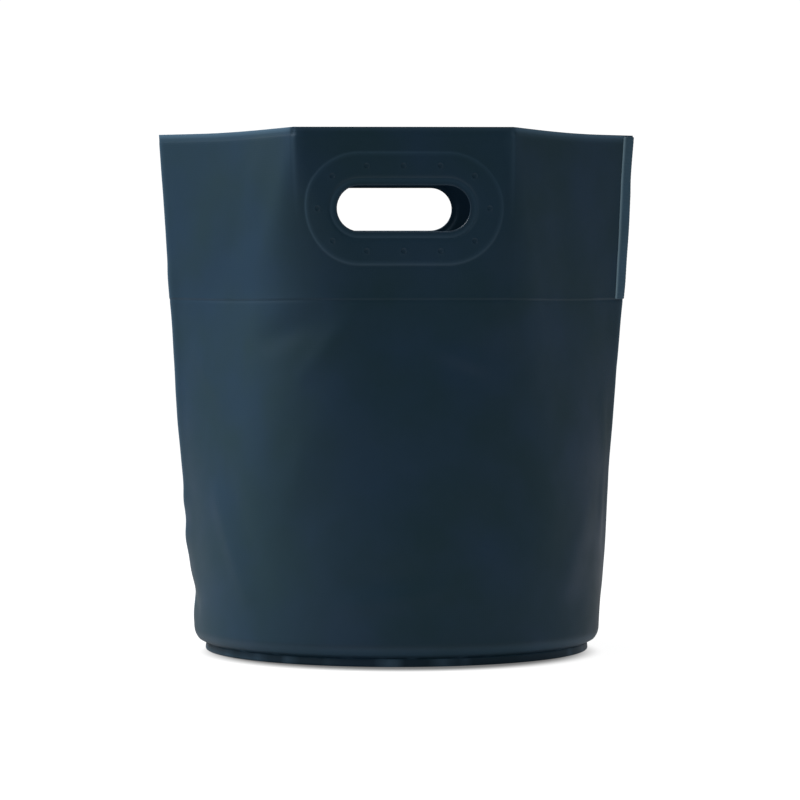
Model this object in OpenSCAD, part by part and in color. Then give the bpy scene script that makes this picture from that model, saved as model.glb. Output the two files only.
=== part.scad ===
// Round storage tub of coated tarpaulin sheet, carried by two die-cut hand slots.
// The wall is two half sheets that meet at the side corners, with a second layer, the band,
// inside the top of each. The mouth is a hexagon and the foot is a circle of the same girth,
// because the sheet bends but doesn't stretch. The front is at -Y and the origin is on the floor.

/* [Tub] */
// Outside diameter of the wall just above its foot
foot_d = 270; // [250:1:290]
// Width of the mouth between its side corners
mouth_w = 317; // [300:1:330]
// Width of the flat front and back panels at the rim
panel_w = 142; // [130:1:150]
// Height from the floor to the rim
tub_h = 345; // [320:1:380]
// Height of the doubled band below the rim
band_h = 110; // [104:1:120]
// Radius of the rounded edge between the wall and the foot
foot_round = 8.5; // [6:0.5:10]

/* [Sheet] */
// Thickness of the tarpaulin sheet
sheet_t = 0.7; // [0.5:0.1:1]
// Thickness of the seam tapes
tape_t = 0.5; // [0.3:0.1:0.8]
// Width of each seam tape, laid half on each side of its corner
tape_w = 20; // [14:1:30]

/* [Handle] */
// Width of the hand slot
slot_w = 85; // [78:1:92]
// Height of the hand slot
slot_h = 30; // [26:1:34]
// Distance from the rim down to the middle of the slot
slot_drop = 52; // [48:1:56]
// Width of the stiffener plate round the slot
plate_w = 129; // [124:1:132]
// Height of the stiffener plate
plate_h = 72; // [68:1:76]
// Thickness of the stiffener plate
plate_t = 1.2; // [0.8:0.1:1.6]
// Width of the lip where the two layers are welded round the slot
lip_w = 3.5; // [2.5:0.5:5]
// Number of plug welds through the plate
plugs = 12; // [8:2:16]
// Diameter of each plug weld
plug_d = 4; // [3:0.5:5]

/* [Foot] */
// Height of the welded flange that the tub stands on
flange_h = 5.5; // [5:0.5:6]
// Thickness of the binding folded over the flange
binding_t = 0.8; // [0.6:0.1:1]

/* [Hidden] */

// Colours of the sheet, of its second layer and of the parts between them
navy = [0.10, 0.16, 0.22];
navy_inside = [0.12, 0.18, 0.25];
plate_grey = [0.25, 0.27, 0.30];

foot_r = foot_d / 2;
crease_x = panel_w / 2;
quarter = PI * foot_r / 2;               // girth of a quarter of the tub
slant = quarter - crease_x;              // length of a slanting side of the mouth
foot_top = flange_h + foot_round;        // where the wall leaves its rounded edge
band_z = tub_h - band_h;                 // lower edge of the band
flange_r = foot_r - foot_round;          // outside radius of the flange, where the edge turns level
contact = 0.05;                          // gap between layers that lie on each other
tape_gap = 0.2;                          // gap under a tape, which bends more finely than the sheet
swing_gap = 0.25;                        // half the slit between a panel and the sheet round it
crease_margin = 1.5;                     // width of the strip left between that slit and the crease
panel_x = crease_x - crease_margin;      // half width of the part of the sheet that leans in
panel_z = 30;                            // height of the line that the panel leans about
pocket_gap = 0.1;                        // clearance of the plate in its pocket
pocket_rim = 1.5;                        // width of the pocket's edge round the plate
band_foot = 1;                           // height of the band's lower edge above its weld line
rim_step = 0.6;                          // how far the band stops below the rim
tape_end = 1;                            // how far a tape stops short of the edge it runs to
tape_steps = 4;                          // facets in each half of a tape
flange_z = 1;                            // height of the lower edges inside the binding
disc_r = flange_r - sheet_t - 3 * contact; // outside radius of the disc's turned-down margin
disc_top = flange_h + 0.8;               // height of the disc's upper face
binding_step = 0.3;                      // how far the binding stops below the rounded edge
columns = 24;                            // facets in each quarter of the wall
through = 10;                            // depth of a cut that passes every layer of the panel
far = 400;                               // longer than anything here

function lerp(a, b, t) = a + (b - a) * t;
function clamp01(t) = min(1, max(0, t));

// Half width between the side corners at height z, which the wall reaches in a straight line.
function corner_x(z) = lerp(foot_r, mouth_w / 2, (z - foot_top) / (tub_h - foot_top));

// Distance from the middle to the flat panel where the side corner is at x.
function front_y(x) = sqrt(slant * slant - (x - crease_x) * (x - crease_x));

// A point on the hexagon at share q of a quarter from the front, drawn in by d.
function hexagon_point(q, x, d) =
    let (
        y = front_y(x),
        angle = atan2(y, x - crease_x),
        corner = [x - d / sin(angle), 0],
        crease = [corner.x - (y - d) / tan(angle), d - y],
        share = crease_x / quarter,
        a = abs(q),
        flat = [crease.x * a / share, crease.y],
        slanted = lerp(crease, corner, (a - share) / (1 - share)),
        p = a < share ? flat : slanted
    )
    [q < 0 ? -p.x : p.x, p.y];

function circle_point(q, r) = [r * sin(90 * q), -r * cos(90 * q)];

// A point of the wall at height z above its rounded edge. The surface is ruled from the circle
// at the foot to the hexagon at the band, and stays a hexagon from there to the rim.
function wall_point(q, z, d) =
    let (
        t = clamp01((z - foot_top) / (band_z - foot_top)),
        p = lerp(circle_point(q, foot_r - d), hexagon_point(q, corner_x(max(z, band_z)), d), t)
    )
    [p.x, p.y, z];

// A point of the rounded edge, a degrees below level, drawn in by d.
function edge_point(q, a, d) =
    let (
        r = foot_r - foot_round + (foot_round - d) * cos(a),
        p = circle_point(q, r)
    )
    [p.x, p.y, foot_top - (foot_round - d) * sin(a)];

// A point of the flange that hangs from the rounded edge.
function flange_point(q, z, d) =
    let (p = circle_point(q, flange_r - d)) [p.x, p.y, z];

// Heights of the rings of the wall, and the angles of those of its rounded edge.
wall_rings = [foot_top, panel_z, 60, 95, 130, 165, 200, band_z, tub_h];
edge_angles = [75, 60, 45, 30, 15];

function sheet_rings(q, d) = concat(
    [flange_point(q, flange_z, d), flange_point(q, flange_h + d, d)],
    [for (a = edge_angles) edge_point(q, a, d)],
    [for (z = wall_rings) wall_point(q, z, d)]
);

// A shell from an outer and an inner grid of points, both lists of columns of rings.
module shell(outer, inner) {
    last = len(outer) - 1;
    top = len(outer[0]) - 1;
    points = concat([for (c = outer) each c], [for (c = inner) each c]);
    function out(c, k) = c * (top + 1) + k;
    function back(c, k) = (last + 1) * (top + 1) + out(c, k);
    faces = concat(
        [for (c = [0:last - 1], k = [0:top - 1]) each [
            [out(c, k), out(c, k + 1), out(c + 1, k + 1)],
            [out(c, k), out(c + 1, k + 1), out(c + 1, k)],
            [back(c, k), back(c + 1, k + 1), back(c, k + 1)],
            [back(c, k), back(c + 1, k), back(c + 1, k + 1)]
        ]],
        [for (c = [0:last - 1]) each [
            [out(c, 0), out(c + 1, 0), back(c + 1, 0), back(c, 0)],
            [out(c, top), back(c, top), back(c + 1, top), out(c + 1, top)]
        ]],
        [for (k = [0:top - 1]) each [
            [out(0, k), back(0, k), back(0, k + 1), out(0, k + 1)],
            [out(last, k), out(last, k + 1), back(last, k + 1), back(last, k)]
        ]]
    );
    polyhedron(points, faces, convexity = 6);
}

// Shares of a quarter at which the columns of a half stand, with one on each crease.
share = crease_x / quarter;
panel_steps = round(columns * share);
slant_steps = columns - panel_steps;
quarter_shares = concat(
    [for (k = [0:panel_steps - 1]) share * k / panel_steps],
    [for (k = [0:slant_steps]) lerp(share, 1 - contact / quarter, k / slant_steps)]
);
half_shares = concat([for (k = [columns:-1:1]) -quarter_shares[k]], quarter_shares);

// The front half sheet, whole: flange, rounded edge and wall.
module half_sheet() {
    shell(
        [for (q = half_shares) sheet_rings(q, 0)],
        [for (q = half_shares) sheet_rings(q, sheet_t)]
    );
}

// The space of the leaning panel, shrunk or grown by gap. It runs well above the rim.
module panel_space(gap) {
    translate([gap - panel_x, -far / 2, panel_z + gap])
        cube([2 * (panel_x - gap), far / 2, far]);
}

// Puts its children on the outside of the front panel, at the slot's middle, with Z outwards.
module on_panel() {
    lean = atan2(front_y(corner_x(band_z)) - front_y(corner_x(tub_h)), band_h);
    y = lerp(front_y(corner_x(tub_h)), front_y(corner_x(band_z)), slot_drop / band_h);
    translate([0, -y, tub_h - slot_drop]) rotate([90 - lean, 0, 0]) children();
}

// A flat shape with straight sides and round ends.
module stadium(w, h) {
    for (side = [-1, 1])
        translate([side * (w - h) / 2, 0]) circle(d = h, $fn = 64);
    square([w - h, h], center = true);
}

// A stadium solid from depth a to depth b behind the panel's outside.
module stadium_block(w, h, a, b) {
    translate([0, 0, -b]) linear_extrude(b - a) stadium(w, h);
}

module slot_cut() {
    on_panel() stadium_block(slot_w, slot_h, -through, through);
}

// A point at distance s along the right-hand round end of a stadium, which starts at its top.
function round_end(s, middle, r) =
    let (angle = s / r * 180 / PI)
    [middle + r * sin(angle), r * cos(angle)];

// Place of plug k on the panel. The plugs are evenly spaced round the middle of the plate's
// ring, and the first is straight above the slot.
function plug_point(k) =
    let (
        r = (plate_h + slot_h + 2 * lip_w) / 4,
        straight = plate_w - plate_h,
        arc = PI * r,
        round_trip = 2 * straight + 2 * arc,
        s = (straight / 2 + k * round_trip / plugs) % round_trip
    )
    s < straight ? [s - straight / 2, r]
    : s < straight + arc ? round_end(s - straight, straight / 2, r)
    : s < 2 * straight + arc ? [straight * 1.5 + arc - s, -r]
    : -round_end(s - 2 * straight - arc, straight / 2, r);

plate_front = sheet_t + contact;          // depth of the plate's outer face
plate_back = plate_front + plate_t;       // depth of its inner face

module front_panel() {
    color(navy) difference() {
        intersection() {
            half_sheet();
            panel_space(swing_gap);
        }
        slot_cut();
    }
}

// The second layer behind the front panel. It bulges inwards as a pocket that holds the plate.
module front_band_panel() {
    half = panel_x - swing_gap;
    foot = slot_drop - band_h + band_foot;
    pocket_t = plate_back + pocket_gap;
    lip_edge = 2 * lip_w - pocket_gap;
    color(navy_inside) difference() {
        on_panel() {
            translate([-half, foot, -plate_front - sheet_t])
                cube([2 * half, band_h - band_foot - rim_step, sheet_t]);
            stadium_block(
                plate_w + 2 * pocket_rim, plate_h + 2 * pocket_rim, plate_front, pocket_t + sheet_t
            );
        }
        on_panel() difference() {
            stadium_block(plate_w + 2 * pocket_gap, plate_h + 2 * pocket_gap, 0, pocket_t);
            stadium_block(slot_w + lip_edge, slot_h + lip_edge, 0, pocket_t);
        }
        slot_cut();
    }
}

module front_stiffener() {
    color(plate_grey) on_panel() difference() {
        stadium_block(plate_w, plate_h, plate_front, plate_back);
        stadium_block(slot_w + 2 * lip_w, slot_h + 2 * lip_w, 0, through);
        for (k = [0:plugs - 1])
            translate([plug_point(k).x, plug_point(k).y, -through])
                cylinder(d = plug_d + 2 * pocket_gap, h = through, $fn = 32);
    }
}

module front_plug_welds() {
    color(navy) on_panel() for (k = [0:plugs - 1])
        translate([plug_point(k).x, plug_point(k).y, -plate_back])
            cylinder(d = plug_d, h = plate_t, $fn = 32);
}

module front_sheet_sides() {
    color(navy) difference() {
        half_sheet();
        panel_space(-swing_gap);
    }
}

// The second layer beside the panel, one piece at each side. Its columns are the sheet's own, so
// that the facets of the two lie flat against each other.
module front_band_sides() {
    outer = sheet_t + contact;
    heights = [band_z + band_foot, tub_h - rim_step];
    right = [for (k = [panel_steps - 1:columns]) quarter_shares[k]];
    left = [for (k = [len(right) - 1:-1:0]) -right[k]];
    color(navy_inside) difference() {
        for (shares = [left, right]) shell(
            [for (q = shares) [for (z = heights) wall_point(q, z, outer)]],
            [for (q = shares) [for (z = heights) wall_point(q, z, outer + sheet_t)]]
        );
        panel_space(-swing_gap);
    }
}

// A strip laid over the right corner at the listed heights, with its outer face drawn in by d.
module corner_strip(heights, d) {
    reach = tape_w / 2 / quarter;
    front = [for (k = [0:tape_steps]) lerp(1 - reach, 1, k / tape_steps)];
    function column(q, depth) = [for (z = heights) wall_point(q, z, depth)];
    function flip(c) = [for (p = c) [p.x, -p.y, p.z]];
    function face(depth) = concat(
        [for (q = front) column(q, depth)],
        [for (k = [tape_steps - 1:-1:0]) flip(column(front[k], depth))]
    );
    shell(face(d), face(d + tape_t));
}

// Outside tape, over the right corner of the doubled band, which is closed last.
module right_corner_tape() {
    color(navy) corner_strip([band_z, tub_h - tape_end], -tape_gap - tape_t);
}

// Inside tape, over the left corner of the doubled band.
module left_corner_tape() {
    foot = band_z + band_foot + tape_end;
    depth = 2 * sheet_t + contact + tape_gap;
    color(navy_inside) half_turn() corner_strip([foot, tub_h - tape_end], depth);
}

// Inside tape, over the seam of the single sheets below the band.
module right_seam_tape() {
    rings = [for (z = wall_rings) if (z > foot_top && z < band_z) z];
    color(navy_inside) corner_strip(concat(rings, [band_z - tape_end]), sheet_t + tape_gap);
}

// The floor of the tub, with its margin turned down inside the wall's flange.
module base_disc() {
    inner = disc_r - sheet_t;
    under = disc_top - sheet_t;
    color(navy_inside) rotate_extrude($fn = 128) polygon([
        [0, under], [inner, under], [inner, flange_z], [disc_r, flange_z], [disc_r, disc_top], [0, disc_top]
    ]);
}

// A strip folded up over both flanges. The tub stands on it.
module base_binding() {
    outer = flange_r + 2 * contact + binding_t;
    inner = disc_r - sheet_t - 2 * contact - binding_t;
    top = flange_h - binding_step;
    fold = binding_t + contact;
    corner = [for (a = [0:22.5:90]) a];
    color(navy) rotate_extrude($fn = 128) polygon(concat(
        [for (a = corner) [outer - binding_t * (1 - cos(a)), binding_t * (1 - sin(a))]],
        [for (a = corner) [inner + binding_t * (1 - sin(a)), binding_t * (1 - cos(a))]],
        [[inner, top], [inner + binding_t, top], [inner + binding_t, fold]],
        [[outer - binding_t, fold], [outer - binding_t, top], [outer, top]]
    ));
}

// The back is the front turned half round, and the left seam tape is the right one.
module half_turn() {
    rotate([0, 0, 180]) children();
}

front_panel();
front_band_panel();
front_stiffener();
front_plug_welds();
half_turn() front_panel();  // back_panel
half_turn() front_band_panel();  // back_band_panel
half_turn() front_stiffener();  // back_stiffener
half_turn() front_plug_welds();  // back_plug_welds
front_sheet_sides();
front_band_sides();
half_turn() front_sheet_sides();  // back_sheet_sides
half_turn() front_band_sides();  // back_band_sides
left_corner_tape();
right_corner_tape();
half_turn() right_seam_tape();  // left_seam_tape
right_seam_tape();
base_disc();
base_binding();
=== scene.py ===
# %% [markdown]
# # A storage tub of welded tarpaulin
# The tub is cut from flat sheets of coated fabric and put together with hot presses, with no
# stitching anywhere. This script builds it the same way: each sheet is drawn flat, its welds are
# pressed into it while it lies flat, and then it is wrapped into the shape of the tub.
# The CAD model is loaded first, as a frame that never moves, and it gives every size and place.

# %% Load the frame
from math import atan2, cos, exp, hypot, pi, radians, sin

import bmesh
import bpy
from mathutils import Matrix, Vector, noise


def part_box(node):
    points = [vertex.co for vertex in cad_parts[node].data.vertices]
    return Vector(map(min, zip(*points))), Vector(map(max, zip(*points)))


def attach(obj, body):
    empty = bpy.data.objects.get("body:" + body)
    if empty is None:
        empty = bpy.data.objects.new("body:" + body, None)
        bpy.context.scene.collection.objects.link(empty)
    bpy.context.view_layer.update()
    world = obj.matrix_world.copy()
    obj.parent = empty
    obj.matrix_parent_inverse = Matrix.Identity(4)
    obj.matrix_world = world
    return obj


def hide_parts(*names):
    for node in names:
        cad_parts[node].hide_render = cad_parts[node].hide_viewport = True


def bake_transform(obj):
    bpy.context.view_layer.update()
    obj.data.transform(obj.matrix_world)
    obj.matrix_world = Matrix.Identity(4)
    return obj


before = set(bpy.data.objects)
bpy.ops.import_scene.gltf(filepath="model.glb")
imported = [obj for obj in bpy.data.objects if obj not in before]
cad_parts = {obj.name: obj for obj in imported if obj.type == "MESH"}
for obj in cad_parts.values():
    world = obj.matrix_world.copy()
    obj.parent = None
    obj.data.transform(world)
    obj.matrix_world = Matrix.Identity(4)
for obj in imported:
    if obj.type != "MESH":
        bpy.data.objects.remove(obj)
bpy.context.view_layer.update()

MM = 0.001

# %% [markdown]
# ## The camera
# A long lens from almost three metres away keeps the sides of the tub nearly parallel, as in a
# catalogue picture. The camera stands a little to the left, so that the left side shows more, and
# a little below the rim, so that neither the inside nor the floor behind the tub shows.

# %% Camera
CAMERA_DISTANCE = 2.8
CAMERA_AZIMUTH = radians(-2.3)
CAMERA_HEIGHT = 284 * MM
AIM = Vector((2.3 * MM, 0, 165.5 * MM))
FOCAL_MM = 189

camera_data = bpy.data.cameras.new("camera")
camera_data.lens = FOCAL_MM
camera = bpy.data.objects.new("camera", camera_data)
camera.location = (
    CAMERA_DISTANCE * sin(CAMERA_AZIMUTH),
    -CAMERA_DISTANCE * cos(CAMERA_AZIMUTH),
    CAMERA_HEIGHT,
)
camera.rotation_euler = (AIM - camera.location).to_track_quat("-Z", "Y").to_euler()
bpy.context.collection.objects.link(camera)
bpy.context.scene.camera = camera
print("camera at", [round(c, 3) for c in camera.location])

# %% [markdown]
# ## Sizes from the frame
# The wall is two half sheets. At the foot it is a circle, and at the rim a hexagon of the same
# girth, because coated fabric bends but doesn't stretch. A place on the wall is given by two
# lengths, as on the flat sheet: the girth from the middle of the front, to the right, and the
# height above the point where the wall leaves its rounded foot.

# %% Sizes
side_low, side_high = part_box("front_sheet_sides")
_, panel_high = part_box("front_panel")
band_low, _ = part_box("front_band_sides")
plate_low, plate_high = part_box("front_stiffener")

PANEL_TO_CREASE = 1.75 * MM
BAND_BELOW_WELD = 1 * MM

RIM_Z = side_high.z
MOUTH_X = side_high.x
FOOT_R = -side_low.y
CREASE_X = panel_high.x + PANEL_TO_CREASE
BAND_Z = band_low.z - BAND_BELOW_WELD
QUARTER = pi * FOOT_R / 2
SLANT = QUARTER - CREASE_X
FOOT_ROUND = 8.5 * MM
FLANGE_H = 5.5 * MM
FOOT_TOP = FLANGE_H + FOOT_ROUND
WALL_H = RIM_Z - FOOT_TOP
EDGE_LENGTH = FOOT_ROUND * pi / 2
SHEET_T = 0.7 * MM
print("quarter of the girth, mm:", round(QUARTER / MM, 1), "wall height, mm:", round(WALL_H / MM, 1))

# %% [markdown]
# ## The shape of the wall
# The mouth is a hexagon whose creases are rounded over. A crease is a turn between two straight
# directions, and rounding it by the average over a short stretch gives a small parabola there.
# The side corners are folded sharp. The two creases beside the flat panel are sharp only at
# the rim, where the welded edge holds them, and they open out below it, the left one sooner.

# %% Turns and the mouth
def mix(a, b, t):
    """A value between a and b, at a share of the way."""
    return a + (b - a) * t


def ease(t):
    """A smooth step from 0 to 1."""
    t = min(1.0, max(0.0, t))
    return t * t * (3 - 2 * t)


def turn(along, before, after, soft):
    """Place on a path that turns from one direction to another at 0, rounded over by soft."""
    if along <= -soft:
        return before * along
    if along >= soft:
        return after * along
    return (after * (soft + along) ** 2 - before * (soft - along) ** 2) / (4 * soft)


CREASE_SOFT_RIM = 4 * MM
CREASE_SOFT_LOW = 46 * MM
LEFT_OPENS = 110 * MM
RIGHT_OPENS = 180 * MM
CORNER_SOFT = 1.6 * MM


def mouth_point(girth, corner_x, z, opens):
    """Place on the hexagon, across and forward. Its crease is fully open at a depth of opens."""
    forward = (SLANT**2 - (corner_x - CREASE_X) ** 2) ** 0.5
    slant_way = Vector((corner_x - CREASE_X, -forward)) / SLANT
    if girth < CREASE_X + SLANT / 2:
        soft = mix(CREASE_SOFT_RIM, CREASE_SOFT_LOW, ease((RIM_Z - z) / opens))
        return Vector((CREASE_X, forward)) + turn(girth - CREASE_X, Vector((1, 0)), slant_way, soft)
    folded_back = Vector((-slant_way.x, slant_way.y))
    return Vector((corner_x, 0)) + turn(girth - QUARTER, slant_way, folded_back, CORNER_SOFT)


def circle_point(girth):
    """Place on the circle of the foot, across and forward."""
    return Vector((sin(girth / FOOT_R), cos(girth / FOOT_R))) * FOOT_R


# %% [markdown]
# The wall between foot and mouth is ruled: every point lies on a straight line from the circle
# to the hexagon, as in a cone pattern for sheet metal. From the creases the rim falls a few
# millimetres towards the side corners, because the slanting sides hang a little.

# %% The wall's surface
LEFT_DIP = 3.0 * MM
RIGHT_DIP = 3.3 * MM
DIP_RUN = 100 * MM


def half_of(girth):
    """Which panel is nearest: even for the front, odd for the back. And the girth from its middle."""
    turns = round(girth / (2 * QUARTER))
    return turns, girth - turns * 2 * QUARTER


def wall_point(girth, height):
    """Place on the wall of the tub at a girth and a height above its rounded foot."""
    turns, from_middle = half_of(girth)
    side = -1 if from_middle < 0 else 1
    reach = abs(from_middle)
    z = FOOT_TOP + height
    corner_x = mix(FOOT_R, MOUTH_X, (max(z, BAND_Z) - FOOT_TOP) / (RIM_Z - FOOT_TOP))
    ruled = min(1.0, max(0.0, height / (BAND_Z - FOOT_TOP)))
    facing = 1 if turns % 2 == 0 else -1
    is_right = side * facing > 0
    opens = RIGHT_OPENS if is_right else LEFT_OPENS
    flat = mix(circle_point(reach), mouth_point(reach, corner_x, z, opens), ruled)
    fallen = min(1.0, max(0.0, (reach - CREASE_X) / DIP_RUN))
    dip = (RIGHT_DIP if is_right else LEFT_DIP) * sin(fallen * pi / 2)
    return Vector((facing * side * flat.x, -facing * flat.y, z - dip * ease(height / WALL_H) ** 2))


# %% [markdown]
# ## Folds
# A tub like this has been packed flat, so soft folds and dents run over it. Each fold is a
# stroke between two places on the sheet, given by girth and height from the floor in
# millimetres, with its height off the wall and its half width. All layers share these strokes,
# so sheets that are welded together stay together. The rim is pinched at each crease, where the
# welded edge has been folded hard.

# %% Folds
CORNER = QUARTER / MM
FRONT_FOLDS = [
    # girth, z, girth, z, height, half width
    (-30, 226, -66, 188, 0.9, 6.5),
    (-100, 209, -60, 221, -1.2, 9.0),
    (18, 203, 54, 190, 0.6, 5.0),
    (22, 195, 50, 184, -0.5, 6.0),
    (-153, 106, -114, 42, 1.0, 7.0),
    (-138, 118, -96, 46, -0.8, 9.0),
    (-40, 39, 24, 49, 0.6, 5.5),
    (-36, 52, 18, 62, -0.4, 9.0),
    (160, 98, 118, 34, 0.4, 8.5),
    (176, 84, 140, 30, -0.3, 9.0),
    (71, 236, 99, 186, 0.8, 8.0),
    (186, 168, 196, 128, 1.0, 4.5),
    (196, 120, 190, 76, 0.9, 4.5),
    (-60, 150, -84, 96, 0.5, 12.0),
    (60, 140, 84, 92, -0.6, 13.0),
    (-8, 160, -16, 96, 0.4, 16.0),
    (-120, 300, -150, 250, -0.7, 14.0),
    (120, 304, 140, 256, -0.7, 13.0),
    (-104, 330, -118, 292, 0.5, 9.0),
    (-180, 200, -150, 168, 0.8, 8.0),
]
BACK_FOLDS = [
    (40, 224, 78, 180, 1.0, 7.0),
    (-84, 214, -48, 224, -1.0, 9.0),
    (-20, 200, -56, 182, 0.7, 5.5),
    (148, 112, 108, 46, 1.2, 7.5),
    (-160, 96, -124, 36, 1.2, 7.0),
    (-30, 44, 38, 38, 0.6, 6.0),
    (12, 150, 22, 92, 0.5, 15.0),
    (124, 300, 148, 254, -0.7, 14.0),
    (-126, 298, -144, 262, -0.6, 12.0),
]
SIDE_FOLDS = [
    (-CORNER, 104, -CORNER, 250, 1.3, 7.0),
    (-CORNER - 8, 76, -CORNER + 8, 74, 2.1, 10.0),
    (-CORNER - 6, 98, -CORNER + 6, 96, 1.4, 9.0),
    (-CORNER - 14, 44, -CORNER + 20, 30, -2.7, 10.0),
    (CORNER, 46, CORNER, 104, 1.1, 9.0),
    (CORNER, 200, CORNER, 302, 1.6, 11.0),
]
CREASE = CREASE_X / MM
CREASES = (-CREASE, CREASE, 2 * CORNER - CREASE, 2 * CORNER + CREASE)
RIM = RIM_Z / MM
PINCHES = [(crease, RIM, crease, RIM - 4, -0.9, 1.8) for crease in CREASES]
folds = FRONT_FOLDS + SIDE_FOLDS + PINCHES
folds += [(a + 2 * CORNER, b, c + 2 * CORNER, d, rise, wide) for a, b, c, d, rise, wide in BACK_FOLDS]

FOLD_REACH = 3
FOLD_AT_ENDS = 0.55


def around(girth):
    """A girth brought to between minus a half turn and plus a half turn, in millimetres."""
    whole = 4 * CORNER
    return (girth + whole / 2) % whole - whole / 2


def fold_height(girth, z):
    """How far the folds lift the wall at a place, in millimetres."""
    total = 0.0
    for a, b, c, d, rise, wide in folds:
        from_a = around(girth - a)
        run, climb = c - a, d - b
        along = (from_a * run + (z - b) * climb) / (run * run + climb * climb)
        held = min(1.0, max(0.0, along))
        off = hypot(from_a - held * run, z - b - held * climb) / wide
        if off < FOLD_REACH:
            total += rise * exp(-off * off) * mix(FOLD_AT_ENDS, 1, sin(pi * held))
    return total


# %% [markdown]
# Between the folds the sheet is never quite flat. Two scales of smooth noise add that. They fade
# out at the foot and weaken towards the rim, because welded edges hold the sheet straight.

# %% Unevenness
BROAD = 62 * MM
BROAD_RISE = 0.95
FINE = 21 * MM
FINE_RISE = 0.22
FOOT_HOLDS = 40 * MM
RIM_HOLDS = 90 * MM
LEFT_AT_RIM = 0.45


def unevenness(place, height):
    """Soft unevenness of the sheet in millimetres, at a point of the wall."""
    free = ease(height / FOOT_HOLDS) * mix(LEFT_AT_RIM, 1, ease((WALL_H - height) / RIM_HOLDS))
    return free * (BROAD_RISE * noise.noise(place / BROAD) + FINE_RISE * noise.noise(place / FINE))


# %% [markdown]
# ## Wrapping
# Every piece is drawn flat, with X along the girth, Y up the sheet and Z off its outer face, and
# this function carries a point of the flat drawing to the tub. Which way is outwards is found
# from a short step on the wall to each side, up and down. Below the wall the sheet runs round
# the foot's edge and then straight down, as the flange that is welded to the base.

# %% Wrap
PROBE = 0.4 * MM
FOLDS_START = 20 * MM


def below_wall(girth, height, off):
    """Place on the rounded foot or the flange under it."""
    way = wall_point(girth, 0)
    way.z = 0
    way.normalize()
    up = Vector((0, 0, 1))
    middle = way * (FOOT_R - FOOT_ROUND)
    if -height < EDGE_LENGTH:
        angle = -height / FOOT_ROUND
        spoke = way * cos(angle) - up * sin(angle)
        return middle + up * FOOT_TOP + spoke * (FOOT_ROUND + off)
    return middle + way * off + up * (FLANGE_H + EDGE_LENGTH + height)


def wrap(girth, height, off):
    """Carries a point of a flat drawing to the tub."""
    if height <= 0:
        return below_wall(girth, height, off)
    place = wall_point(girth, height)
    across = wall_point(girth + PROBE, height) - wall_point(girth - PROBE, height)
    up = wall_point(girth, height + PROBE) - wall_point(girth, height - PROBE)
    outward = across.cross(up).normalized()
    lift = fold_height(girth / MM, (FOOT_TOP + height) / MM) + unevenness(place, height)
    return place + outward * (off + lift * MM * ease(height / FOLDS_START))


def wrap_mesh(bm, girth=0.0):
    """Wraps a flat mesh round the tub, with its X zero at that girth."""
    for vertex in bm.verts:
        vertex.co = wrap(vertex.co.x + girth, vertex.co.y, vertex.co.z)


# %% [markdown]
# ## Materials: a helper and the colours
# Colours are written as sRGB hex values, as a colour picker shows them, and one function turns
# them into the linear values that a shader needs. One function adds a node with its settings
# and its links, so that each material below reads as a short list.

# %% Material helpers
def linear(hex_colour, alpha=1.0):
    """The linear colour of an sRGB hex value."""
    parts = [int(hex_colour[i : i + 2], 16) / 255 for i in (1, 3, 5)]
    return (*[p / 12.92 if p <= 0.04045 else ((p + 0.055) / 1.055) ** 2.4 for p in parts], alpha)


def add(tree, kind, settings=None, **inputs):
    """Adds a node. A setting is an attribute, and an input is a value or another node's socket."""
    node = tree.nodes.new(kind)
    for name, value in (settings or {}).items():
        setattr(node, name, value)
    for name, value in inputs.items():
        key = int(name[1:]) if name[1:].isdigit() else name.replace("_", " ")
        if isinstance(value, bpy.types.NodeSocket):
            tree.links.new(value, node.inputs[key])
        else:
            node.inputs[key].default_value = value
    return node


def new_material(name):
    """An empty material, its node tree and its output."""
    material = bpy.data.materials.new(name)
    material.use_nodes = True
    material.node_tree.nodes.clear()
    output = add(material.node_tree, "ShaderNodeOutputMaterial")
    return material, material.node_tree, output


# %% [markdown]
# ### Tarpaulin
# Tarpaulin is a polyester scrim, a plain weave of flat yarns, with soft PVC spread over both
# faces and pressed smooth by a roller. So it is a plastic to the eye: one deep colour, a satin
# gloss, and the weave only as a faint print through the coating. The gloss isn't even, because
# the roller leaves it slightly mottled, and handling dulls it in patches. Creases and edges
# show a paler line, mixed in from a pale colour: in places that is coating whitened by wear,
# and in places it is a painted highlight, standing in for light caught by rims, creases and edges.
# The yarns are 1.4 mm apart, which is the true spacing and just about shows.

# %% Tarpaulin
YARN_SPACING = 1.4 * MM
WAVE_UNIT = 2 * pi / 20
WEAVE_DEPTH = 0.05 * MM
MOTTLE_SIZE = 55 * MM
TINT_LOW, TINT_HIGH = 0.34, 0.66
GLOSS_LOW, GLOSS_HIGH = 0.3, 0.7
SHINIER, DULLER = 0.05, 0.06
GRAIN_SIZE = 0.5 * MM
GRAIN_DEPTH = 0.04 * MM
GRAIN_STRENGTH = 0.25
PVC_IOR = 1.5
PVC_SPECULAR = 0.2


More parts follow.
